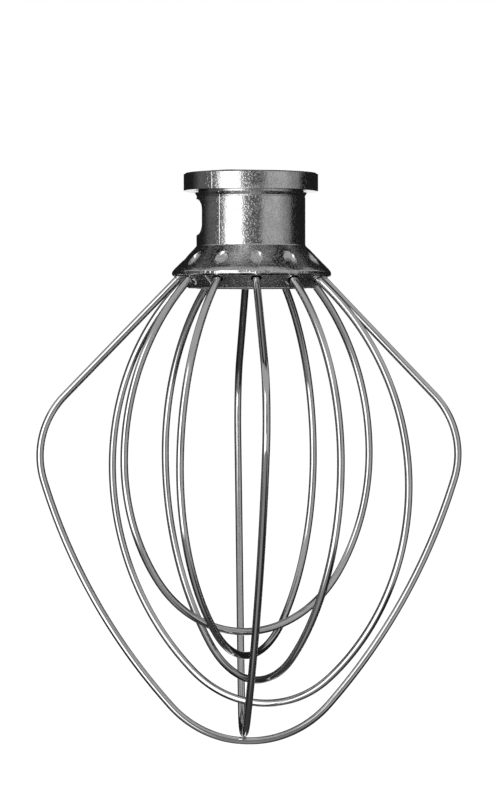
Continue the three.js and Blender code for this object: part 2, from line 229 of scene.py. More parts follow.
def unit(vector):
    return vector / abs(vector)


def line_through(start, end):
    return start, unit(end - start)


def offset_line(line, distance):
    """The line moved sideways. On the skirt, which is drawn upwards, that is into the metal."""
    start, along = line
    return start - 1j * distance * along, along


def meet(first, second):
    """The point where two lines cross."""
    (p, u), (q, v) = first, second
    return p + u * ((q - p).conjugate() * v).imag / (u.conjugate() * v).imag


def at_depth(line, depth):
    """The line's point at this depth."""
    start, along = line
    return start + along * (depth - start.imag) / along.imag


def arc(centre, start, end, step):
    """Points from start to end round a centre, no more than step apart."""
    turn = cmath.phase((end - centre) / (start - centre))
    count = max(1, math.ceil(abs(turn * (start - centre)) / step))
    return [centre + (start - centre) * cmath.exp(1j * turn * i / count) for i in range(count + 1)]


def rounded_outline(corners):
    """An outline from (corner, rounding) pairs, with an arc of that radius at each corner."""
    outline = []
    for i, (at, rounding) in enumerate(corners):
        if not rounding:
            outline.append(at)
            continue
        back = unit(corners[i - 1][0] - at)
        ahead = unit(corners[(i + 1) % len(corners)][0] - at)
        half = abs(cmath.phase(ahead / back)) / 2
        centre = at + unit(back + ahead) * rounding / math.sin(half)
        start = at + back * rounding / math.tan(half)
        end = at + ahead * rounding / math.tan(half)
        step = (math.pi - 2 * half) * rounding / ROUNDING_STEPS * ROUNDING_SLACK
        outline += arc(centre, start, end, step)
    return outline


def spaced(outline, spacing, closed):
    """The outline with points added, so that none are further apart than spacing(point) says."""
    points = []
    ends = outline[1:] + outline[:1] if closed else outline[1:]
    for start, end in zip(outline, ends):
        count = max(1, math.ceil(abs(end - start) / spacing((start + end) / 2)))
        points += [start + (end - start) * i / count for i in range(count)]
    return points if closed else points + [outline[-1]]


# ---- Construction lines shared by the skirt, the retainer and the wires ----

LIP = complex(LIP_RADIUS, LIP_DEPTH)
LIP_FOOT = complex(LIP_RADIUS, LIP_DEPTH + LIP_HEIGHT)
NECK_END = complex(NECK_RADIUS, NECK_END_DEPTH)
SKIRT_OUTSIDE = line_through(LIP, NECK_END)
SKIRT_LENGTH = abs(NECK_END - LIP)
SKIRT_INSIDE = offset_line(SKIRT_OUTSIDE, SKIRT_WALL)
RETAINER_SEAT = offset_line(SKIRT_OUTSIDE, SKIRT_WALL + SKIRT_CLEARANCE)
WIRE_AXIS = offset_line(SKIRT_OUTSIDE, WIRE_AXIS_SINK)
UNDERSIDE = line_through(LIP_FOOT, complex(BOSS_RADIUS, BOSS_DEPTH))
WIRE_EXIT = meet(WIRE_AXIS, UNDERSIDE)
OUTWARD = -WIRE_AXIS[1]
LIP_RIM = LIP_FOOT + UNDERSIDE[1] * LIP_EDGE
LIP_ROOT_DEPTH = LIP_DEPTH - LIP_ROOT_RISE


def end_azimuth(place):
    """Azimuth of a wire end in radians."""
    return math.radians(WIRE_CLOCKING + place * 360 / WIRE_ENDS)


# ---- Meshes ----

def new_piece(name, mesh, material):
    """An object with this mesh and material, riding on the whip's body."""
    piece = bpy.data.objects.new(name, mesh)
    bpy.context.scene.collection.objects.link(piece)
    piece.data.materials.append(material)
    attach(piece, "root")
    return piece


def mesh_from(name, vertices, faces):
    """A mesh in metres from millimetre vertices, its faces turned outwards."""
    mesh = bpy.data.meshes.new(name)
    mesh.from_pydata((np.asarray(vertices) * MM).tolist(), [], faces)
    work = bmesh.new()
    work.from_mesh(mesh)
    bmesh.ops.remove_doubles(work, verts=work.verts, dist=WELD_DISTANCE)
    bmesh.ops.recalc_face_normals(work, faces=work.faces)
    work.to_mesh(mesh)
    work.free()
    return mesh


def smooth(mesh, sharp_degrees=34):
    """Smooth shading, but for edges sharper than this."""
    mesh.polygons.foreach_set("use_smooth", [True] * len(mesh.polygons))
    mesh.set_sharp_from_angle(angle=math.radians(sharp_degrees))


def grid_faces(rows, columns, close_rows, close_columns):
    """Quads over vertices numbered row by row, joined round where asked."""
    last_row = rows if close_rows else rows - 1
    last_column = columns if close_columns else columns - 1
    return [
        (r * columns + c, r * columns + (c + 1) % columns,
         (r + 1) % rows * columns + (c + 1) % columns, (r + 1) % rows * columns + c)
        for r in range(last_row) for c in range(last_column)
    ]


def revolved(name, outline, azimuths, closed, relief=None):
    """Revolve of an outline. relief moves each point along the outline's normal, in millimetres."""
    points = np.array(outline)
    if closed:
        along = np.roll(points, -1) - np.roll(points, 1)
    else:
        along = np.gradient(points)
    normals = -1j * along / np.abs(along)
    grid = np.repeat(points[None, :], len(azimuths), axis=0)
    if relief is not None:
        grid = grid + normals[None, :] * relief(points, normals, azimuths)
    turn = azimuths[:, None]
    vertices = np.stack([grid.real * np.cos(turn), grid.real * np.sin(turn), -grid.imag], axis=-1)
    faces = grid_faces(len(azimuths), len(points), True, closed)
    return mesh_from(name, vertices.reshape(-1, 3), faces)


def cut(mesh, cutters, ridges=()):
    """The mesh with the ridges joined to it and every cutter mesh taken out of it."""
    body = bpy.data.objects.new("body_to_cut", mesh)
    bpy.context.scene.collection.objects.link(body)
    tools = []
    steps = [(ridge, "UNION") for ridge in ridges] + [(cutter, "DIFFERENCE") for cutter in cutters]
    for shape, operation in steps:
        tool = bpy.data.objects.new("tool", shape)
        bpy.context.scene.collection.objects.link(tool)
        modifier = body.modifiers.new(operation, "BOOLEAN")
        modifier.operation = operation
        modifier.solver = "EXACT"
        modifier.object = tool
        tools.append(tool)
    bpy.context.view_layer.update()
    shown = body.evaluated_get(bpy.context.evaluated_depsgraph_get())
    result = bpy.data.meshes.new_from_object(shown)
    for leftover in [body, *tools]:
        bpy.data.objects.remove(leftover)
    return result


def prism(name, rings):
    """A closed mesh through rings of equally many points, with a flat face on each end."""
    count = len(rings[0])
    faces = grid_faces(len(rings), count, False, True)
    faces += [tuple(range(count)), tuple(range((len(rings) - 1) * count, len(rings) * count))]
    return mesh_from(name, np.concatenate(rings), faces)


# ---- Hub ----

def angle_between(azimuths, centre):
    """Angles from the centre to the azimuths, between -pi and pi."""
    return (azimuths - centre + math.pi) % (2 * math.pi) - math.pi


def bump(distance, width):
    """A smooth hill: 1 in the middle, falling off over width."""
    return np.exp(-((distance / width) ** 2))


def hub_columns():
    """Azimuths of the hub's mesh columns, closer together over the dimples and parting lines."""
    half_pitch = 180 / WIRE_ENDS
    dimple_radius = (NECK_RADIUS + LIP_RADIUS) / 2
    half_dimple = math.degrees(DIMPLE_WIDTH / 2 / dimple_radius) + DIMPLE_COLUMN_MARGIN
    fine = np.arange(0, half_dimple, DIMPLE_COLUMN_STEP)
    wide = np.arange(half_dimple, half_pitch, COLUMN_STEP)
    one_side = np.concatenate([fine, wide])
    pitch = np.radians(np.concatenate([-one_side[:0:-1], one_side]))
    even = np.concatenate([end_azimuth(place) + pitch for place in range(WIRE_ENDS)])
    parting = math.radians(PARTING_AZIMUTH)
    near = np.array(PARTING_COLUMNS) * PARTING_WIDTH / NECK_RADIUS
    extra = np.concatenate([near + parting, near + parting + math.pi])
    kept = [a for a in even if np.abs(angle_between(extra, a)).min() > COLUMN_CLEARANCE]
    return np.sort(np.concatenate([kept, extra]) % (2 * math.pi))


def dimple_dents(up_slope, radius, azimuths):
    """Depth of the staked dimples, one above each wire end, with floors that rise towards the neck."""
    dents = 0
    for place in range(WIRE_ENDS):
        across = angle_between(azimuths, end_azimuth(place))[:, None] * radius[None, :]
        up = ((up_slope - DIMPLE_FROM_LIP) / (DIMPLE_LENGTH / 2))[None, :]
        reach = np.hypot(up, across / (DIMPLE_WIDTH / 2))
        floor = DIMPLE_SINK * (1 - DIMPLE_FALL * ((1 + up) / 2) ** 2)
        dents += floor * np.sqrt(np.clip(1 - reach ** 4, 0, None))
    return dents


def parting_line(off_slope, radius, azimuths):
    """Height of the line where the die's halves met, on both sides of the hub."""
    height = PARTING_HEIGHT * np.where(off_slope < NEAR_SLOPE, PARTING_SHARE_ON_SLOPE, 1)
    height *= np.where(radius > NECK_RADIUS + OFF_NECK, PARTING_SHARE_OFF_NECK, 1)
    line = 0
    for side in (0, math.pi):
        across = angle_between(azimuths, math.radians(PARTING_AZIMUTH) + side)[:, None] * radius
        line += height * bump(across, PARTING_WIDTH)
    return line


def uneven_lip(points, normals, azimuths):
    """Height of the rippled edge at the joint, and of the metal squeezed up above each wire."""
    from_edge = np.abs(points - LIP_RIM)
    underside = ((points - LIP_FOOT) / UNDERSIDE[1]).real > -ABOVE_LIP_FOOT
    near_edge = bump(from_edge, LIP_RIPPLE_REACH) * underside * (normals.imag > -FACING_UP)
    height = np.zeros((len(azimuths), len(points)))
    for row, azimuth in enumerate(azimuths):
        place = Vector((math.cos(azimuth), math.sin(azimuth), 0)) * LIP_RADIUS
        ripple = sum(share * noise.noise(place * waves) for waves, share in LIP_RIPPLE_WAVES)
        height[row] = LIP_RIPPLE * ripple * near_edge
    for place in range(WIRE_ENDS):
        across = angle_between(azimuths, end_azimuth(place))[:, None] * LIP_RIM.real
        reach = np.hypot(across, from_edge[None, :])
        height += BEAD_HEIGHT * bump(reach, BEAD_RADIUS) * (near_edge > BEAD_SHARE)[None, :]
    return height


def hub_relief(points, normals, azimuths):
    """What the hub's outside has on top of the turned outline."""
    start, along = SKIRT_OUTSIDE
    up_slope = ((points - start) / along).real
    off_slope = np.abs(((points - start) / along).imag)
    radius = points.real

    # The hollow above the lip: this curve of the share up the slope peaks at 4 / 27.
    share = np.clip(up_slope / SKIRT_LENGTH, 0, 1)
    on_slope = off_slope < ON_SLOPE
    relief = np.zeros((len(azimuths), len(points)))
    relief -= 27 / 4 * SKIRT_HOLLOW * share * (1 - share) ** 2 * on_slope
    on_skirt = on_slope & (up_slope > PAST_LIP)
    relief -= dimple_dents(up_slope, radius, azimuths) * on_skirt[None, :]

    outside = (normals.real > FACING_OUT) & (radius > GROOVE_RADIUS)
    relief += parting_line(off_slope, radius, azimuths) * outside[None, :]

    # The worn top face, with the one spot that still stands at full height.
    on_top = (points.imag < FLANGE_CHAMFER) & (radius > SOCKET_RADIUS + SOCKET_CHAMFER)
    from_spot = angle_between(azimuths, math.radians(HIGH_SPOT_AZIMUTH))
    wear = FLANGE_TOP_WEAR * (1 - bump(from_spot, HIGH_SPOT_HALF_ANGLE))
    relief -= wear[:, None] * (on_top * np.clip(-normals.imag, 0, 1))[None, :]

    # The flange's underside lies higher behind the parting line, where the die's halves didn't match.
    on_flange = (points.imag < FLANGE_THICKNESS + FLANGE_MARGIN) & (radius > GROOVE_RADIUS + GROOVE_MARGIN)
    past_line = angle_between(math.radians(PARTING_AZIMUTH), azimuths)
    behind = np.clip(past_line / DIE_MISMATCH_RAMP, 0, 1)
    relief -= DIE_MISMATCH * behind[:, None] * (on_flange * np.clip(normals.imag, 0, 1))[None, :]

    return relief + uneven_lip(points, normals, azimuths)


def rounded_rectangle(width, height, radius, steps=8):
    """Points round a rectangle with rounded corners, and the outward direction at each."""
    points, outward = [], []
    for quarter in range(4):
        sign = cmath.exp(1j * (math.pi / 4 + quarter * math.pi / 2))
        corner = complex(math.copysign(width / 2 - radius, sign.real),
                         math.copysign(height / 2 - radius, sign.imag))
        for step in range(steps + 1):
            direction = cmath.exp(1j * (quarter + step / steps) * math.pi / 2)
            points.append(corner + radius * direction)
            outward.append(direction)
    return np.array(points), np.array(outward)


def turned(rings, degrees):
    """The rings turned about the drive axis."""
    c, s = math.cos(math.radians(degrees)), math.sin(math.radians(degrees))
    matrix = np.array([[c, -s, 0], [s, c, 0], [0, 0, 1]])
    return [ring @ matrix.T for ring in rings]


def window_cutter():
    """The window through the neck wall, opening out along a rounded edge at the neck's face."""
    middle = WINDOW_TOP_DEPTH + WINDOW_HEIGHT / 2
    points, outward = rounded_rectangle(WINDOW_WIDTH, WINDOW_HEIGHT, WINDOW_CORNER_RADIUS)

    def ring(offset, radius):
        at = points + offset * outward
        x = np.sqrt(np.maximum(radius ** 2 - at.real ** 2, 0)) if radius else 0 * at.real
        return np.stack([x, at.real, at.imag - middle], axis=-1)

    edge = WINDOW_EDGE_ROUNDING
    rings = [ring(0, 0)]
    for degrees in WINDOW_EDGE_ANGLES:
        a = math.radians(degrees)
        rings.append(ring(edge * (1 - math.cos(a)), NECK_RADIUS - edge * (1 - math.sin(a))))
    rings.append(ring(edge, NECK_RADIUS + WINDOW_FLARE))
    rings.append(ring(edge, NECK_RADIUS + WINDOW_OVERHANG))
    return prism("window", turned(rings, WINDOW_AZIMUTH))


def keyway_cutter():
    """The slot from the top face down to the window that lets the shaft's cross pin in."""
    bottom = -(WINDOW_TOP_DEPTH + WINDOW_HEIGHT / 2)
    half = PIN_SLOT_WIDTH / 2
    flat_end = PIN_SLOT_REACH - PIN_SLOT_CHAMFER
    flat_half = half - PIN_SLOT_CHAMFER
    section = [(0, -half), (flat_end, -half), (PIN_SLOT_REACH, -flat_half),
               (PIN_SLOT_REACH, flat_half), (flat_end, half), (0, half)]
    rings = [np.array([(x, y, z) for x, y in section]) for z in (bottom, CUTTER_OVERHANG)]
    return prism("keyway", turned(rings, WINDOW_AZIMUTH - PIN_TURN / 2))


def pin_seat_cutter():
    """The notch above the window that hooks over the cross pin."""
    radius = PIN_SLOT_WIDTH / 2
    centre = -(WINDOW_TOP_DEPTH - PIN_SEAT_RISE + radius)
    angles = np.linspace(0, 2 * math.pi, PIN_SEAT_SIDES, endpoint=False)
    y, z = radius * np.cos(angles), centre + radius * np.sin(angles)
    rings = [np.stack([np.full_like(y, x), y, z], axis=-1) for x in (0.0, PIN_SLOT_REACH)]
    return prism("pin_seat", turned(rings, WINDOW_AZIMUTH + PIN_TURN / 2))


def hub_outline():
    """The hub's outline, finer where the relief needs it."""
    groove_end = FLANGE_THICKNESS + GROOVE_WIDTH
    corners = rounded_outline([
        (complex(SOCKET_RADIUS, SOCKET_CHAMFER), 0),
        (complex(SOCKET_RADIUS + SOCKET_CHAMFER, 0), 0),
        (complex(FLANGE_RADIUS - FLANGE_CHAMFER, 0), FLANGE_CHAMFER_ROUNDING),
        (complex(FLANGE_RADIUS, FLANGE_CHAMFER), FLANGE_CHAMFER_ROUNDING),
        (complex(FLANGE_RADIUS, FLANGE_THICKNESS), FLANGE_BOTTOM_ROUNDING),
        (complex(GROOVE_RADIUS, FLANGE_THICKNESS), 0),
        (complex(GROOVE_RADIUS, groove_end), 0),
        (complex(SHOULDER_RADIUS, groove_end), SHOULDER_EDGE_ROUNDING),
        (SHOULDER_KNEE, SHOULDER_ROUNDING),
        (complex(NECK_RADIUS, SHOULDER_END_DEPTH), SHOULDER_ROUNDING),
        (NECK_END, NECK_FILLET),
        (LIP + SKIRT_OUTSIDE[1] * LIP_ROLL_LENGTH, LIP_ROLL_ROUNDING),
        (LIP + LIP_NOSE_TOP, LIP_NOSE_ROUNDING),
        (LIP + LIP_NOSE_FOOT, LIP_FOOT_ROUNDING),
        (LIP_RIM, LIP_EDGE_ROUNDING),
        (at_depth(SKIRT_INSIDE, LIP_ROOT_DEPTH), 0),
        (at_depth(SKIRT_INSIDE, CAVITY_DEPTH), 0),
        (complex(CORE_RADIUS, CAVITY_DEPTH), 0),
        (complex(CORE_RADIUS, SOCKET_DEPTH), 0),
        (complex(SOCKET_RADIUS, SOCKET_DEPTH), 0),
    ])
    start, along = SKIRT_OUTSIDE
    shoulder_end = SHOULDER_END_DEPTH + FINE_BELOW_SHOULDER
    lowest, highest = FINE_UP_SLOPE

    def spacing(point):
        on_slope = (point - start) / along
        on_shoulder = FLANGE_THICKNESS < point.imag < shoulder_end and point.real > GROOVE_RADIUS
        on_skirt = abs(on_slope.imag) < FINE_OFF_SLOPE and lowest < on_slope.real < highest
        return FINE_SPACING if on_shoulder or on_skirt else COARSE_SPACING

    return spaced(corners, spacing, closed=True)


def hub_mesh():
    """The hub with its skirt shifted, and with the window, keyway and pin seat cut out."""
    body = revolved("hub", hub_outline(), hub_columns(), closed=True, relief=hub_relief)
    for vertex in body.vertices:
        below_neck = -vertex.co.z / MM - NECK_END_DEPTH
        share = (below_neck - SKIRT_SHIFT_START) / (SKIRT_SHIFT_END - SKIRT_SHIFT_START)
        vertex.co.x += SKIRT_SHIFT * MM * min(max(share, 0), 1)
    mesh = cut(body, [window_cutter(), keyway_cutter(), pin_seat_cutter()])
    smooth(mesh)
    return mesh


# ---- Retainer ----

def wire_hole_cutter(place):
    """A blind hole for a wire end, bored along the skirt's slope."""
    angles = np.linspace(0, 2 * math.pi, WIRE_SIDES, endpoint=False)
    rings = []
    for along in (-WIRE_SEAT_LENGTH - HOLE_END_ROOM, HOLE_OVERHANG):
        middle = WIRE_EXIT + OUTWARD * along
        half_plane = middle + 1j * OUTWARD * WIRE_HOLE_RADIUS * np.cos(angles)
        side = WIRE_HOLE_RADIUS * np.sin(angles)
        rings.append(np.stack([half_plane.real, side, -half_plane.imag], axis=-1))
    return prism("wire_hole", turned(rings, math.degrees(end_azimuth(place))))


def flash_ridge(line):
    """A thin thread of metal that stands out from the retainer's sloping face."""
    azimuths = np.radians([azimuth for azimuth, _ in line])
    along = np.array([distance for _, distance in line])
    middle = LIP_FOOT + UNDERSIDE[1] * (along - 1j * FLASH_RISE)
    points = np.stack([middle.real * np.cos(azimuths) + SKIRT_SHIFT, middle.real * np.sin(azimuths),
                       -middle.imag], axis=-1)
    tangents = np.gradient(points, axis=0)
    outward = points * (1, 1, 0) / np.linalg.norm(points[:, :2], axis=1)[:, None] - (0, 0, 1)
    side = np.cross(tangents, outward)
    side /= np.linalg.norm(side, axis=1)[:, None]
    up = np.cross(side, tangents)
    up /= np.linalg.norm(up, axis=1)[:, None]
    angles = np.linspace(0, 2 * math.pi, FLASH_SIDES, endpoint=False)
    rings = [p + FLASH_RADIUS * (np.cos(angles)[:, None] * u + np.sin(angles)[:, None] * v)
             for p, u, v in zip(points, up, side)]
    return prism("flash", rings)


def mark_flash(mesh):
    """The second material for the faces that stand out from the sloping face: the threads of flash."""
    for face in mesh.polygons:
        x, y, z = face.center / MM
        half_plane = complex(math.hypot(x - SKIRT_SHIFT, y), -z)
        sink = ((half_plane - LIP_FOOT) / UNDERSIDE[1]).imag
        face.material_index = 1 if sink < -FLASH_RISE / 4 else 0


def retainer_mesh():
    """The retainer with its wire holes and its threads of flash."""
    gap = SEAT_CLEARANCE
    outline = rounded_outline([
        (complex(0, SOCKET_DEPTH + gap), 0),
        (complex(CORE_RADIUS + gap, SOCKET_DEPTH + gap), 0),
        (complex(CORE_RADIUS + gap, CAVITY_DEPTH + gap), 0),
        (at_depth(RETAINER_SEAT, CAVITY_DEPTH + gap), 0),
        (at_depth(RETAINER_SEAT, LIP_ROOT_DEPTH + JOINT_ROOM), 0),
        (LIP_RIM + UNDERSIDE[1] * JOINT_WIDTH * (1 - 1j), 0),
        (LIP_RIM + UNDERSIDE[1] * (JOINT_WIDTH + JOINT_SINK), JOINT_ROUNDING),
        (complex(BOSS_RADIUS, BOSS_DEPTH), BOSS_ROUNDING),
        (complex(DISH_RADIUS, BOSS_DEPTH), DISH_ROUNDING),
        (complex(DISH_RADIUS - DISH_DRAFT, BOSS_DEPTH - DISH_SINK), DISH_ROUNDING),
        (complex(0, BOSS_DEPTH - DISH_SINK), 0),
    ])
    outline = spaced(outline, lambda _: COARSE_SPACING, closed=False)
    columns = np.linspace(-math.pi, math.pi, RETAINER_COLUMNS, endpoint=False)
    body = revolved("retainer", outline, columns, closed=False)
    body.transform(Matrix.Translation((SKIRT_SHIFT * MM, 0, 0)))
    holes = [wire_hole_cutter(place) for place in range(WIRE_ENDS)]
    mesh = cut(body, holes, [flash_ridge(line) for line in FLASH_LINES])
    smooth(mesh)
    mark_flash(mesh)
    return mesh


# ---- Wires ----

def tangent_circle(first, first_radius, second, second_radius, radius):
    """Centre of the circle of this radius that both circles touch from within, on the axis side."""
    between = abs(second - first)
    from_first = radius - first_radius
    from_second = radius - second_radius
    cosine = (between ** 2 + from_first ** 2 - from_second ** 2) / (2 * between * from_first)
    return first + unit(second - first) * cmath.exp(1j * math.acos(cosine)) * from_first


def round_half(loop):
    """One arc out to the widest point, then two tangent arcs to the tip."""
    half_width, widest = loop["half_width"], loop["widest"]
    tip, tip_radius = loop["tip"], loop["tip_radius"]
    across, down = half_width - WIRE_EXIT.real, widest - WIRE_EXIT.imag
    upper_radius = (across ** 2 + down ** 2) / (2 * across)
    reach = tip - widest
    squares = half_width ** 2 + reach ** 2 - 2 * reach * tip_radius
    lower_radius = squares / (2 * (half_width - tip_radius))
    upper_centre = complex(half_width - upper_radius, widest)
    lower_centre = complex(half_width - lower_radius, widest)
    tip_centre = complex(0, tip - tip_radius)
    widest_point = complex(half_width, widest)
    joint = tip_centre + unit(tip_centre - lower_centre) * tip_radius
    return (arc(upper_centre, WIRE_EXIT, widest_point, WIRE_STEP)
            + arc(lower_centre, widest_point, joint, WIRE_STEP)[1:]
            + arc(tip_centre, joint, complex(0, tip), WIRE_STEP)[1:])


def kite_half(loop):
    """A straight leg, the corner, a bowed lower leg and the tip, each tangent to the next."""
    corner_radius, tip_radius = loop["corner_radius"], loop["tip_radius"]
    corner = complex(loop["half_width"] - corner_radius, loop["widest"])
    tip = complex(0, loop["tip"] - tip_radius)
    to_corner = corner - WIRE_EXIT
    swing = math.asin(corner_radius / abs(to_corner))
    leg_length = math.sqrt(abs(to_corner) ** 2 - corner_radius ** 2)
    leg_end = WIRE_EXIT + unit(to_corner) * cmath.exp(-1j * swing) * leg_length
    bow = tangent_circle(corner, corner_radius, tip, tip_radius, loop["bow_radius"])
    bow_start = corner + unit(corner - bow) * corner_radius
    bow_end = tip + unit(tip - bow) * tip_radius
    leg_steps = math.ceil(leg_length / WIRE_STEP)
    return ([WIRE_EXIT + (leg_end - WIRE_EXIT) * i / leg_steps for i in range(leg_steps)]
            + arc(corner, leg_end, bow_start, WIRE_STEP)
            + arc(bow, bow_start, bow_end, WIRE_STEP)[1:]
            + arc(tip, bow_end, complex(0, loop["tip"]), WIRE_STEP)[1:])


def loop_centres(loop):
    """The wire's centre line as an array of points, from one seat round to the other."""
    half = kite_half(loop) if "bow_radius" in loop else round_half(loop)
    seat = [WIRE_EXIT - OUTWARD * WIRE_SEAT_LENGTH * (1 - i / WIRE_SEAT_STEPS)
            for i in range(WIRE_SEAT_STEPS)]
    half = np.array(seat + half)
    drop = np.clip((half.imag - WIRE_EXIT.imag) / (loop["tip"] - WIRE_EXIT.imag), 0, None)

    # A loop leans to a side and sways out of its plane, in proportion to the drop and at its belly.
    belly = 4 * drop * (1 - drop)
    lean = loop.get("lean", 0) * drop + loop.get("belly_lean", 0) * belly
    sway = loop.get("sway", 0) * drop + loop.get("belly_sway", 0) * belly

    def side(sign):
        return np.stack([sign * half.real + lean, sway, -half.imag], axis=-1)

    centres = np.concatenate([side(1), side(-1)[-2::-1]])
    return turned([centres], math.degrees(end_azimuth(loop["place"])))[0]


def wire_mesh(loop):
    """A round wire swept along the loop."""
    centres = loop_centres(loop)
    tangents = np.gradient(centres, axis=0)
    tangents /= np.linalg.norm(tangents, axis=1)[:, None]
    azimuth = end_azimuth(loop["place"])
    plane_normal = np.array([-math.sin(azimuth), math.cos(azimuth), 0])
    inward = np.cross(tangents, plane_normal)
    inward /= np.linalg.norm(inward, axis=1)[:, None]
    side = np.cross(inward, tangents)
    angles = np.linspace(0, 2 * math.pi, WIRE_SIDES, endpoint=False)
    circle = WIRE_RADIUS * (np.cos(angles)[None, :, None] * inward[:, None, :]
                            + np.sin(angles)[None, :, None] * side[:, None, :])
    rings = centres[:, None, :] + circle
    mesh = prism(loop["node"] + "_visual", list(rings))
    smooth(mesh, sharp_degrees=50)
    return mesh


# ---- Materials ----

def add(tree, kind, inputs=(), **settings):
    """A shader node with its settings, its inputs set to values or linked to other sockets."""
    made = tree.nodes.new(kind)
    for name, value in settings.items():
        setattr(made, name, value)
    for name, value in dict(inputs).items():
        if isinstance(value, bpy.types.NodeSocket):
            tree.links.new(value, made.inputs[name])
        else:
            made.inputs[name].default_value = value
    return made


def new_material(name):
    """A new material and its empty node tree."""
    material = bpy.data.materials.new(name)
    material.use_nodes = True
    material.node_tree.nodes.clear()
    return material, material.node_tree


def grey(level):
    return (level, level, level, 1)


def texture_noise(tree, place, per_metre, detail=3, roughness=0.55):
    """Noise with this many waves to the metre."""
    return add(tree, "ShaderNodeTexNoise",
               {"Vector": place, "Scale": per_metre, "Detail": detail, "Roughness": roughness}).outputs["Fac"]


def ranged(tree, value, low, high, from_low=0.3, from_high=0.7):
    """value from its usual range to low..high."""
    return add(tree, "ShaderNodeMapRange",
               {"Value": value, "From Min": from_low, "From Max": from_high,
                "To Min": low, "To Max": high}).outputs["Result"]


def bumped(tree, height, depth, below=None):
    """Normals that follow a height of this depth in metres, on top of other normals."""
    inputs = {"Height": height, "Distance": depth, "Strength": 1.0}
    if below is not None:
        inputs["Normal"] = below
    return add(tree, "ShaderNodeBump", inputs).outputs["Normal"]


def cast_metal(name, dark, light, smoothest, roughest, grain_depth):
    """Satin die-cast alloy: mottled grey, fine cast grain, small pits and shallow unevenness."""
    material, tree = new_material(name)
    place = add(tree, "ShaderNodeTexCoord").outputs["Object"]
    mottle = texture_noise(tree, place, per_metre=420, detail=4)
    speckle = texture_noise(tree, place, per_metre=3200, detail=2)
    tone = add(tree, "ShaderNodeMix",
               {"Factor": 0.65, "A": mottle, "B": speckle}, data_type="FLOAT").outputs["Result"]
    colour = add(tree, "ShaderNodeMix",
                 {"Factor": ranged(tree, tone, 0, 1, from_low=0.38, from_high=0.62),
                  "A": grey(dark), "B": grey(light)}, data_type="RGBA").outputs["Result"]
    wave_noise = texture_noise(tree, place, per_metre=260, detail=2)
    waves = bumped(tree, wave_noise, depth=0.05 * MM)
    grain_noise = texture_noise(tree, place, per_metre=2400, detail=2, roughness=0.6)
    grain = bumped(tree, grain_noise, depth=grain_depth, below=waves)
    pit_noise = texture_noise(tree, place, per_metre=2100, detail=1)
    pits = ranged(tree, pit_noise, 0, 1, from_low=0.36, from_high=0.46)
    pitted = bumped(tree, pits, depth=0.6 * grain_depth, below=grain)
    shader = add(tree, "ShaderNodeBsdfPrincipled",
                 {"Metallic": 1.0, "Base Color": colour,
                  "Roughness": ranged(tree, speckle, smoothest, roughest), "Normal": pitted})
    add(tree, "ShaderNodeOutputMaterial", {"Surface": shader.outputs["BSDF"]})
    return material


def raw_flash(name):
    """The torn, whitish surface of a thread of flash."""
    material, tree = new_material(name)
    shader = add(tree, "ShaderNodeBsdfPrincipled",
                 {"Metallic": 0.4, "Base Color": grey(0.85), "Roughness": 0.6})
    add(tree, "ShaderNodeOutputMaterial", {"Surface": shader.outputs["BSDF"]})
    return material


def drawn_wire(name):
    """Polished drawn stainless wire: smooth, with a little unevenness."""
    material, tree = new_material(name)
    place = add(tree, "ShaderNodeTexCoord").outputs["Object"]
    cloud = texture_noise(tree, place, per_metre=180)
    fine = texture_noise(tree, place, per_metre=5200, detail=2)
    colour = add(tree, "ShaderNodeMix",
                 {"Factor": ranged(tree, cloud, 0, 1), "A": grey(0.68), "B": grey(0.76)},
                 data_type="RGBA").outputs["Result"]
    shader = add(tree, "ShaderNodeBsdfPrincipled",
                 {"Metallic": 1.0, "Base Color": colour, "Roughness": ranged(tree, cloud, 0.06, 0.12),
                  "Normal": bumped(tree, fine, depth=0.0012 * MM)})
    add(tree, "ShaderNodeOutputMaterial", {"Surface": shader.outputs["BSDF"]})
    return material


# ---- Pieces ----

hub_metal = cast_metal("hub_cast_metal", dark=0.52, light=0.83,
                       smoothest=0.08, roughest=0.14, grain_depth=0.032 * MM)
retainer_metal = cast_metal("retainer_cast_metal", dark=0.36, light=0.82,
                            smoothest=0.14, roughest=0.24, grain_depth=0.06 * MM)
wire_metal = drawn_wire("wire_metal")

hub = new_piece("hub_casting", hub_mesh(), hub_metal)
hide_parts("drive_hub")

retainer = new_piece("retainer_plug", retainer_mesh(), retainer_metal)
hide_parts("wire_retainer")
retainer.data.materials.append(raw_flash("retainer_flash"))

for loop in LOOPS:
    wire = new_piece(loop["node"] + "_bent", wire_mesh(loop), wire_metal)
    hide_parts(loop["node"])


# ---- Studio, in metres and degrees ----

FLOOR_DROP = 0.03                   # the whip hangs this far above the floor
FLOOR_HALF_WIDTH = 4.0
DOME_RADIUS = 1.2
LAMP_PLACE = (-0.3, -0.4, 1.0)
LAMP_WIDTH = 0.8
LAMP_WATTS = 3.0
CAMERA_PLACE = (-0.0001, -0.75432, -0.04139)
CAMERA_TILT = 1.4495                # below level
CAMERA_LENS = 126.7
SENSOR_WIDTH = 36.0
WORLD_SHOWN = 1.0                   # the world's level where it is seen
WORLD_LIGHT = 0.75                  # and for the light that it gives
FLOOR_GLOW = 0.75                   # the floor where it is seen: what glows of itself
FLOOR_SHADED = 0.38                 # and what takes the whip's shadow
FLOOR_PAINT = 0.9                   # the floor for the light that it sends on

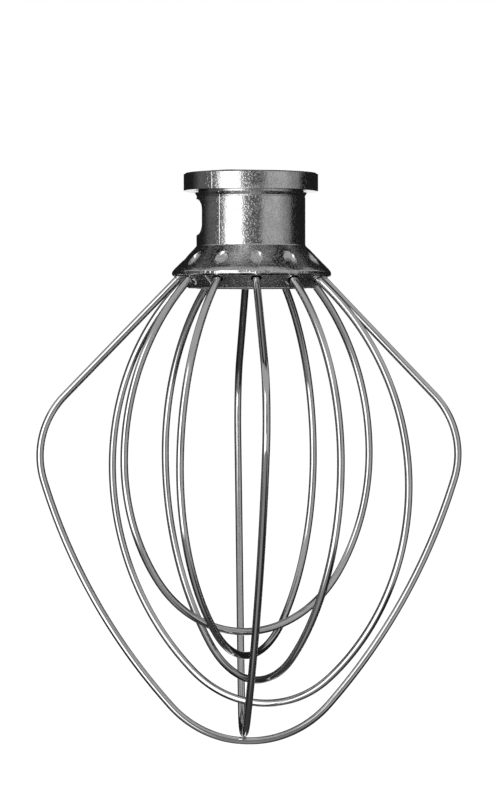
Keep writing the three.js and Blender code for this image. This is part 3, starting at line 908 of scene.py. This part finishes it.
# The studio that the metal mirrors: a dark room with soft-edged cards in it, each laid over the ones
# before it. Azimuth 0 is the camera's side, and positive azimuths lie to its right.
ROOM_LEVEL = 0.015
CARDS = [
    # name, level, middle azimuth, half width, lowest and highest elevation, softness across and up
    ("floor", 0.05, 0, 180, -95, -50, 1, 14),
    ("floor before the camera", 0.27, -14, 46, -80, -34, 24, 12),
    ("pale wall", 0.47, 2, 126, 24, 48, 10, 8),
    ("pale ceiling", 0.45, -6, 98, 42, 82, 12, 14),
    ("right wall, far end", 0.25, 60, 32, -34, 26, 4, 6),
    ("right wall", 0.48, 30, 40, -34, 26, 34, 6),
    ("left wall, far end", 0.13, -80, 26, -34, 26, 22, 6),
    ("left wall", 0.4, -50, 13, -34, 26, 16, 6),
    ("low card", 2.0, -22, 20, -34, -12, 4, 5),
    ("softbox", 2.1, -36, 19, -33, 40, 4, 5),
    ("camera side", 0.27, 5, 20, -10, 30, 3, 6),
    ("camera", 0.08, 9, 13, 3, 13, 4, 3),
    ("below the camera", 0.22, 12, 13, -36, -8, 8, 6),
    ("light above the back", 0.28, 180, 45, 46, 87, 20, 8),
    ("pale backdrop", 1.0, 180, 6, -60, 12, 3, 6),
]


def towards(azimuth, elevation):
    """The unit vector towards a place on the dome."""
    a, e = math.radians(azimuth), math.radians(elevation)
    return np.array([math.sin(a) * math.cos(e), -math.cos(a) * math.cos(e), math.sin(e)])


def soft_step(value):
    """0 below -0.5, 1 above 0.5, and a smooth rise between."""
    t = np.clip(value + 0.5, 0, 1)
    return t * t * (3 - 2 * t)


def dome_levels(azimuths, elevations):
    """Grey levels over the dome, with one card laid over the other."""
    levels = np.full((len(elevations), len(azimuths)), ROOM_LEVEL)
    for _, level, azimuth, half_width, lowest, highest, softness, softness_up in CARDS:
        off = np.abs((azimuths - azimuth + 180) % 360 - 180)
        across = soft_step((half_width - off) / softness)
        up = soft_step((elevations - lowest) / softness_up) * soft_step((highest - elevations) / softness_up)
        share = up[:, None] * across[None, :]
        levels = levels * (1 - share) + level * share
    return levels


def glow_material():
    """Light as strong as the mesh's level."""
    material, tree = new_material("dome_glow")
    shown = add(tree, "ShaderNodeAttribute", attribute_name="level")
    shader = add(tree, "ShaderNodeEmission", {"Color": grey(1), "Strength": shown.outputs["Fac"]})
    add(tree, "ShaderNodeOutputMaterial", {"Surface": shader.outputs["Emission"]})
    material.cycles.emission_sampling = "NONE"
    return material


def make_dome(middle):
    """A dome of graded light round the whip, which only metal mirrors."""
    azimuths = np.arange(-180, 180)
    elevations = np.arange(-90, 91)
    centre = np.array(middle)
    corners = [centre + DOME_RADIUS * towards(a, e) for e in elevations for a in azimuths]
    mesh = bpy.data.meshes.new("dome")
    mesh.from_pydata([tuple(p) for p in corners], [],
                     grid_faces(len(elevations), len(azimuths), False, True))
    level = mesh.attributes.new("level", "FLOAT", "POINT")
    level.data.foreach_set("value", dome_levels(azimuths, elevations).ravel())
    mesh.materials.append(glow_material())
    dome = bpy.data.objects.new("dome", mesh)
    bpy.context.scene.collection.objects.link(dome)
    dome.visible_camera = False
    dome.visible_diffuse = False
    dome.visible_shadow = False
    dome.visible_transmission = False


def shown_rays(tree):
    """1 for the rays that show the background itself: camera, glossy and transmission rays."""
    path = add(tree, "ShaderNodeLightPath").outputs
    first = add(tree, "ShaderNodeMath", {0: path["Is Camera Ray"], 1: path["Is Glossy Ray"]},
                operation="MAXIMUM").outputs[0]
    return add(tree, "ShaderNodeMath", {0: first, 1: path["Is Transmission Ray"]},
               operation="MAXIMUM").outputs[0]


def floor_material():
    """White where it is seen, and plain pale paint for the light that it sends on."""
    material, tree = new_material("pale_floor")
    white = add(tree, "ShaderNodeEmission", {"Color": grey(1), "Strength": FLOOR_GLOW})
    shaded = add(tree, "ShaderNodeBsdfDiffuse", {"Color": grey(FLOOR_SHADED)})
    lit = add(tree, "ShaderNodeAddShader", {0: white.outputs[0], 1: shaded.outputs[0]})
    plain = add(tree, "ShaderNodeBsdfDiffuse", {"Color": grey(FLOOR_PAINT)})
    mixed = add(tree, "ShaderNodeMixShader",
                {0: shown_rays(tree), 1: plain.outputs[0], 2: lit.outputs[0]})
    add(tree, "ShaderNodeOutputMaterial", {"Surface": mixed.outputs[0]})
    return material


def make_floor(z):
    """A plain pale floor at this height."""
    mesh = bpy.data.meshes.new("floor")
    w = FLOOR_HALF_WIDTH
    mesh.from_pydata([(-w, -w, z), (w, -w, z), (w, w, z), (-w, w, z)], [], [(0, 1, 2, 3)])
    floor = bpy.data.objects.new("floor", mesh)
    bpy.context.scene.collection.objects.link(floor)
    mesh.materials.append(floor_material())
    floor.visible_glossy = False


def make_world():
    """A plain white background that lights the scene softly from all round."""
    world = bpy.data.worlds.new("studio")
    bpy.context.scene.world = world
    world.use_nodes = True
    tree = world.node_tree
    tree.nodes.clear()
    strength = add(tree, "ShaderNodeMapRange",
                   {"Value": shown_rays(tree), "To Min": WORLD_LIGHT, "To Max": WORLD_SHOWN})
    light = add(tree, "ShaderNodeBackground",
                {"Color": grey(1), "Strength": strength.outputs["Result"]})
    add(tree, "ShaderNodeOutputWorld", {"Surface": light.outputs[0]})


def make_overhead_light(middle):
    """A wide soft lamp above, aimed at the whip's middle."""
    light = bpy.data.lights.new("overhead", "AREA")
    light.shape = "DISK"
    light.size = LAMP_WIDTH
    light.energy = LAMP_WATTS
    lamp = bpy.data.objects.new("overhead", light)
    lamp.location = LAMP_PLACE
    lamp.rotation_euler = (Vector(middle) - lamp.location).to_track_quat("-Z", "Y").to_euler()
    lamp.visible_glossy = False
    bpy.context.scene.collection.objects.link(lamp)


def make_camera():
    """The camera at the photograph's viewing angle."""
    data = bpy.data.cameras.new("camera")
    data.lens = CAMERA_LENS
    data.sensor_width = SENSOR_WIDTH
    data.clip_start = 0.01
    data.clip_end = 20.0
    camera = bpy.data.objects.new("camera", data)
    camera.location = CAMERA_PLACE
    camera.rotation_euler = (math.radians(90 - CAMERA_TILT), 0, 0)
    bpy.context.scene.collection.objects.link(camera)
    bpy.context.scene.camera = camera


low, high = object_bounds()
middle = (low + high) / 2
make_dome(middle)
make_floor(low.z - FLOOR_DROP)
make_world()
make_overhead_light(middle)
make_camera()
bpy.context.scene.view_settings.view_transform = "Standard"
